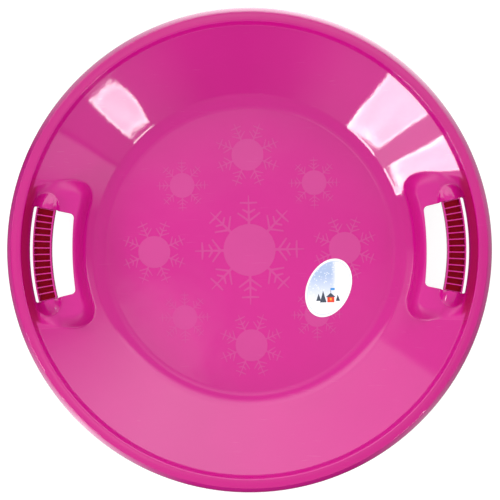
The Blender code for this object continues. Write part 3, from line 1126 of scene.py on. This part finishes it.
class SLED_OT_snowflakes(bpy.types.Operator):
    """Lays the nine moulded snowflakes on the floor"""

    bl_idname = "sled.snowflakes"
    bl_label = "Snowflakes"

    def execute(self, context):
        settings = context.scene.sled_flake
        floor = context.scene.sled_pan.wall
        span = (floor - settings.thickness, floor + settings.thickness)
        flakes = [make_flake(settings.large, 0.0, *span)]
        for reach, ring, first, turn in (
            (settings.medium, settings.medium_ring, 0.0, math.pi / FLAKE_ARMS),
            (settings.small, settings.small_ring, RIGHT_ANGLE / 2, 0.0),
        ):
            flake = make_flake(reach, turn, *span)
            for index in range(4):
                place = around(ring, first + index * RIGHT_ANGLE)
                flakes.append(moved_copy(flake, Matrix.Translation((*place, 0.0))))
            bpy.data.objects.remove(flake)
        deselect_all()
        for flake in flakes:
            flake.select_set(True)
        bpy.context.view_layer.objects.active = flakes[0]
        bpy.ops.object.join()
        pattern = named(flakes[0], "snowflake_relief")
        smooth(pattern, 30)
        tint = context.scene.sled_color.flake
        material = plastic("snowflake plastic", tint, FLAKE_FINISH)[0]
        hand_over(pattern, material, [])
        return {"FINISHED"}


class SLED_OT_label(bpy.types.Operator):
    """Makes the oval label with its printed winter scene"""

    bl_idname = "sled.label"
    bl_label = "Label"

    def execute(self, context):
        middle, long_axis, short_axis = label_frame()
        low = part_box("oval_label")[0][2]
        thickness = context.scene.sled_label.thickness
        film = added(
            bpy.ops.mesh.primitive_cylinder_add, "oval_sticker", vertices=128, radius=1.0,
            depth=1.0, location=(0.0, 0.0, 0.5)
        )
        settle(film)
        place = Matrix((
            (long_axis.x, short_axis.x, 0.0, middle.x),
            (long_axis.y, short_axis.y, 0.0, middle.y),
            (0.0, 0.0, thickness, low),
            (0.0, 0.0, 0.0, 1.0),
        ))
        film.data.transform(place)
        recalculate(film)
        smooth(film, 30)
        material = label_plastic(context.scene.sled_label, context.scene.sled_color)
        hand_over(film, material, ["oval_label"])
        return {"FINISHED"}


# Stage


WHITE = (1.0, 1.0, 1.0, 1.0)

# Softboxes: distance from the sled's middle and unevenness, and their border's width, how much
# brighter it is, and its unevenness
SOFTBOX_DISTANCE = 1.2
SOFTBOX_UNEVENNESS = 0.12
EDGE_WIDTH = 0.008
EDGE_BOOST = 2.2
EDGE_UNEVENNESS = 0.3

# Softboxes on upright planes round the sled: the plane's direction in degrees, the corners as
# (sideways, height) in metres, and the brightness
SOFTBOXES = (
    ("lower_right", -50.1, (
        (0.130, 0.663), (-0.022, 0.662), (-0.060, 0.645), (-0.082, 0.612), (-0.085, 0.572),
        (-0.062, 0.536), (0.121, 0.536)), 13.5),
    ("lower_left_a", -147.2, (
        (-0.079, 0.73), (-0.290, 0.73), (-0.290, 0.535), (-0.062, 0.535)), 17.0),
    ("lower_left_b", -147.2, (
        (0.372, 0.73), (0.066, 0.73), (0.084, 0.535), (0.388, 0.535)), 17.0),
)

# Brightness of the studio's walls by direction in degrees, from 0 for black
WALL_STOPS = (
    (0, 0.62), (18, 0.65), (24, 1.3), (30, 1.9), (45, 2.9), (60, 3.4), (90, 3.0), (120, 2.4),
    (143.5, 2.1), (145.5, 0.95), (178, 0.95), (203, 0.7), (206, 3.0), (221, 3.0), (224, 1.2),
    (240, 1.2), (255, 0.6), (270, 0.45), (285, 0.5), (300, 1.0), (308, 1.15), (325, 1.0),
    (325.6, 0.5), (326.2, 0.5), (326.8, 1.9), (336, 1.7), (345, 0.62),
)

# Brightness of the ceiling by direction in degrees: away from the middle, near it, and overhead
CEILING_EDGE_STOPS = (
    (0, 0.75), (30, 1.2), (60, 1.75), (95, 1.8), (120, 1.2), (150, 1.1), (240, 1.05),
    (265, 0.8), (330, 0.75),
)
CEILING_STOPS = (
    (0, 0.85), (30, 1.15), (60, 1.15), (90, 1.4), (130, 1.45), (150, 1.15), (180, 0.8),
    (197, 1.1), (207, 1.85), (240, 1.8), (256, 1.0), (300, 1.0), (330, 1.15),
)
CEILING_MIDDLE = 1.0

# Painted light: the floor's glow as the sled mirrors it, by direction in degrees
FLOOR_PAINTED_LIGHT_STOPS = (
    (0, 0.3), (25, 0.45), (45, 1.35), (75, 2.0), (95, 1.8), (120, 0.8), (140, 0.5), (155, 0.0),
    (185, 0.12), (200, 0.2), (225, 1.6), (245, 0.3), (255, 0.0), (295, 0.0), (315, 0.45),
    (335, 0.15),
)
BRIGHTEST = 3.5

# The floor's width in metres and roughness, how much light it reflects, how much where the sled
# mirrors it, kept low so the painted light shows there instead, and its glow in the picture
FLOOR_WIDTH = 30.0
FLOOR_ROUGHNESS = 0.9
FLOOR_SHADE = 0.25
FLOOR_MIRRORED_SHADE = 0.02
FLOOR_GLOW = 0.86

# Zones of the studio, by how far up a direction points, from 0 for level to 1 for straight up:
# where each starts and where it is full
WALL_ZONE = (0.26, 0.34)
WINDOW_ZONE = (0.38, 0.48)
PLAIN_ZONE = (0.60, 0.88)
CEILING_ZONE = (0.93, 0.975)
CEILING_INNER_ZONE = (0.990, 0.993)
CEILING_MIDDLE_ZONE = (0.9991, 0.9999)

# Brightness below the walls, from -Y and from elsewhere, with the share of Y where they meet
NEAR_LIGHT = 1.6
LOW_LIGHT = 0.3
NEAR_SIDE = (-0.5, -0.1)

# A brighter window toward +Y
WINDOW_LIGHT = 3.0
WINDOW_SIDE = (0.38, 0.52)

# A bright card toward +Y that only reflections show, and where its lower edge, its upper edge
# and its sides fade in
CARD_LIGHT = 3.0
CARD_FOOT = (-0.10, 0.02)
CARD_TOP = (0.36, 0.28)
CARD_SIDE = (0.0, 0.15)


def turned_toward(x, y):
    """A socket that runs from 0 to 1 round the sled, starting at -X."""
    return mapped(maths("ARCTAN2", y, x), -math.pi, math.pi)


def brightness_round(share, stops):
    """A socket with the brightness that the stops give for a direction."""
    ramp = add_node(share.id_data, "ShaderNodeValToRGB", {0: share})
    elements = ramp.color_ramp.elements
    placed = sorted((((degrees + 180) % 360) / 360, level / BRIGHTEST) for degrees, level in stops)
    elements[0].position = 0.0
    elements[1].position = 1.0
    for element in elements:
        element.color = (*[placed[0][1]] * 3, 1.0)
    for position, level in placed:
        elements.new(position).color = (level, level, level, 1.0)
    return maths("MULTIPLY", ramp.outputs["Color"], BRIGHTEST)


def blend_by(value, low, high, first, second):
    """A socket that goes gently from first to second as value goes from low to high."""
    return mixed(mapped(value, low, high, gentle=True), first, second)


def make_world(scene):
    """Soft light from all round, in zones from the floor's level up to straight overhead."""
    world = bpy.data.worlds.new("studio")
    scene.world = world
    world.use_nodes = True
    tree = world.node_tree
    x, y, z = parts_of(tree.nodes.new("ShaderNodeTexCoord").outputs["Generated"])
    share = turned_toward(x, y)
    plain = scene.sled_stage.world
    light = blend_by(y, *NEAR_SIDE, NEAR_LIGHT, LOW_LIGHT)
    for zone, level in (
        (WALL_ZONE, brightness_round(share, WALL_STOPS)),
        (WINDOW_ZONE, blend_by(y, *WINDOW_SIDE, plain, WINDOW_LIGHT)),
        (PLAIN_ZONE, plain),
        (CEILING_ZONE, brightness_round(share, CEILING_EDGE_STOPS)),
        (CEILING_INNER_ZONE, brightness_round(share, CEILING_STOPS)),
        (CEILING_MIDDLE_ZONE, CEILING_MIDDLE),
    ):
        light = blend_by(z, *zone, light, level)
    paths = tree.nodes.new("ShaderNodeLightPath").outputs
    card = product(
        mapped(z, *CARD_FOOT), mapped(z, *CARD_TOP), mapped(y, *CARD_SIDE),
        paths["Is Glossy Ray"]
    )
    light = mixed(card, light, CARD_LIGHT)
    background = tree.nodes["Background"]
    background.inputs["Color"].default_value = WHITE
    strength = mixed(paths["Is Camera Ray"], light, 1.0)
    tree.links.new(strength, background.inputs["Strength"])


def glowing(name, strength, unevenness):
    """A light's cloth, a little uneven."""
    material, tree, shader = new_material(name)
    tree.nodes.remove(shader)
    folds = add_node(tree, "ShaderNodeTexNoise", {
        "Vector": object_place(tree), "Scale": 6.0, "Detail": 4.0, "Distortion": 1.5})
    span = (strength * (1 - unevenness), strength * (1 + unevenness))
    level = mapped(folds.outputs["Fac"], *NOISE_RANGE, *span)
    glow = add_node(tree, "ShaderNodeEmission", {"Strength": level})
    tree.links.new(glow.outputs[0], tree.nodes["Material Output"].inputs["Surface"])
    return material


def make_softbox(name, degrees, corners, brightness):
    """A softbox with a brighter border, hidden from the camera."""
    circle = {"vertices": len(corners), "radius": 1.0, "fill_type": "NGON"}
    box = added(bpy.ops.mesh.primitive_circle_add, name, **circle)
    azimuth = math.radians(degrees)
    for vertex, (sideways, height) in zip(box.data.vertices, corners):
        place = around(SOFTBOX_DISTANCE, azimuth) + around(sideways, azimuth + RIGHT_ANGLE)
        vertex.co = (place.x, place.y, height)
    edit(box, "FACE", "SELECT")
    bpy.ops.mesh.inset(thickness=EDGE_WIDTH, depth=0.0)
    done()
    for looks in (
        (name + "_edge", brightness * EDGE_BOOST, EDGE_UNEVENNESS),
        (name, brightness, SOFTBOX_UNEVENNESS),
    ):
        box.data.materials.append(glowing(*looks))
    for face in box.data.polygons:
        face.material_index = 1 if face.select else 0
    box.visible_camera = False


def make_floor():
    """A white floor that takes the sled's shadow, and shows painted light by direction in
    reflections.
    """
    floor = added(bpy.ops.mesh.primitive_plane_add, "studio_floor", size=FLOOR_WIDTH)
    material, tree, shader = new_material("studio floor")
    shader.inputs["Roughness"].default_value = FLOOR_ROUGHNESS
    shader.inputs["Emission Color"].default_value = WHITE
    x, y = parts_of(object_place(tree))[:2]
    # Painted light: a glow by direction that reflections show in place of the lit floor
    painted_floor_light = brightness_round(turned_toward(x, y), FLOOR_PAINTED_LIGHT_STOPS)
    paths = tree.nodes.new("ShaderNodeLightPath").outputs
    shade = mixed(paths["Is Glossy Ray"], FLOOR_SHADE, FLOOR_MIRRORED_SHADE)
    tree.links.new(shade, shader.inputs["Base Color"])
    painted_reflection = maths("MULTIPLY", paths["Is Glossy Ray"], painted_floor_light)
    in_picture = maths("MULTIPLY", paths["Is Camera Ray"], FLOOR_GLOW)
    glow = maths("MAXIMUM", painted_reflection, in_picture)
    tree.links.new(glow, shader.inputs["Emission Strength"])
    floor.data.materials.append(material)


class SLED_OT_stage(bpy.types.Operator):
    """Sets the floor, the lights and the camera"""

    bl_idname = "sled.stage"
    bl_label = "Stage"

    def execute(self, context):
        scene = context.scene
        stage = scene.sled_stage
        make_floor()
        make_world(scene)
        for softbox in SOFTBOXES:
            make_softbox(*softbox)
        data = bpy.data.cameras.new("camera")
        camera = bpy.data.objects.new("camera", data)
        scene.collection.objects.link(camera)
        camera.location = (stage.camera_shift, 0.0, stage.camera_height)
        camera.rotation_euler = (0.0, 0.0, stage.roll)
        distance = stage.camera_height - stage.frame_height
        data.lens = data.sensor_width * distance / stage.frame_width
        scene.camera = camera
        scene.view_settings.view_transform = "Standard"
        return {"FINISHED"}


STEPS = (SLED_OT_pan, SLED_OT_grips, SLED_OT_snowflakes, SLED_OT_label, SLED_OT_stage)


def caption(name):
    """A setting's name as the panel shows it."""
    return name.replace("_", " ").capitalize()


class SLED_PT_panel(bpy.types.Panel):
    """Lists the sled's settings and the steps that build it"""

    bl_label = "Saucer sled"
    bl_idname = "SLED_PT_panel"
    bl_space_type = "VIEW_3D"
    bl_region_type = "UI"
    bl_category = "Saucer sled"

    def draw(self, context):
        for step in STEPS:
            self.layout.operator(step.bl_idname)
        for key, group in SETTINGS.items():
            box = self.layout.box()
            box.label(text=caption(key.removeprefix("sled_")))
            for name in group.__annotations__:
                box.prop(getattr(context.scene, key), name, text=caption(name))


CLASSES = (*SETTINGS.values(), *STEPS, SLED_PT_panel)


def register():
    for cls in CLASSES:
        bpy.utils.register_class(cls)
    for key, group in SETTINGS.items():
        setattr(bpy.types.Scene, key, bpy.props.PointerProperty(type=group))


def unregister():
    for key in SETTINGS:
        delattr(bpy.types.Scene, key)
    for cls in reversed(CLASSES):
        bpy.utils.unregister_class(cls)


def main():
    register()
    bpy.ops.sled.pan()
    bpy.ops.sled.grips()
    bpy.ops.sled.snowflakes()
    bpy.ops.sled.label()
    bpy.ops.sled.stage()


if __name__ == "__main__":
    main()
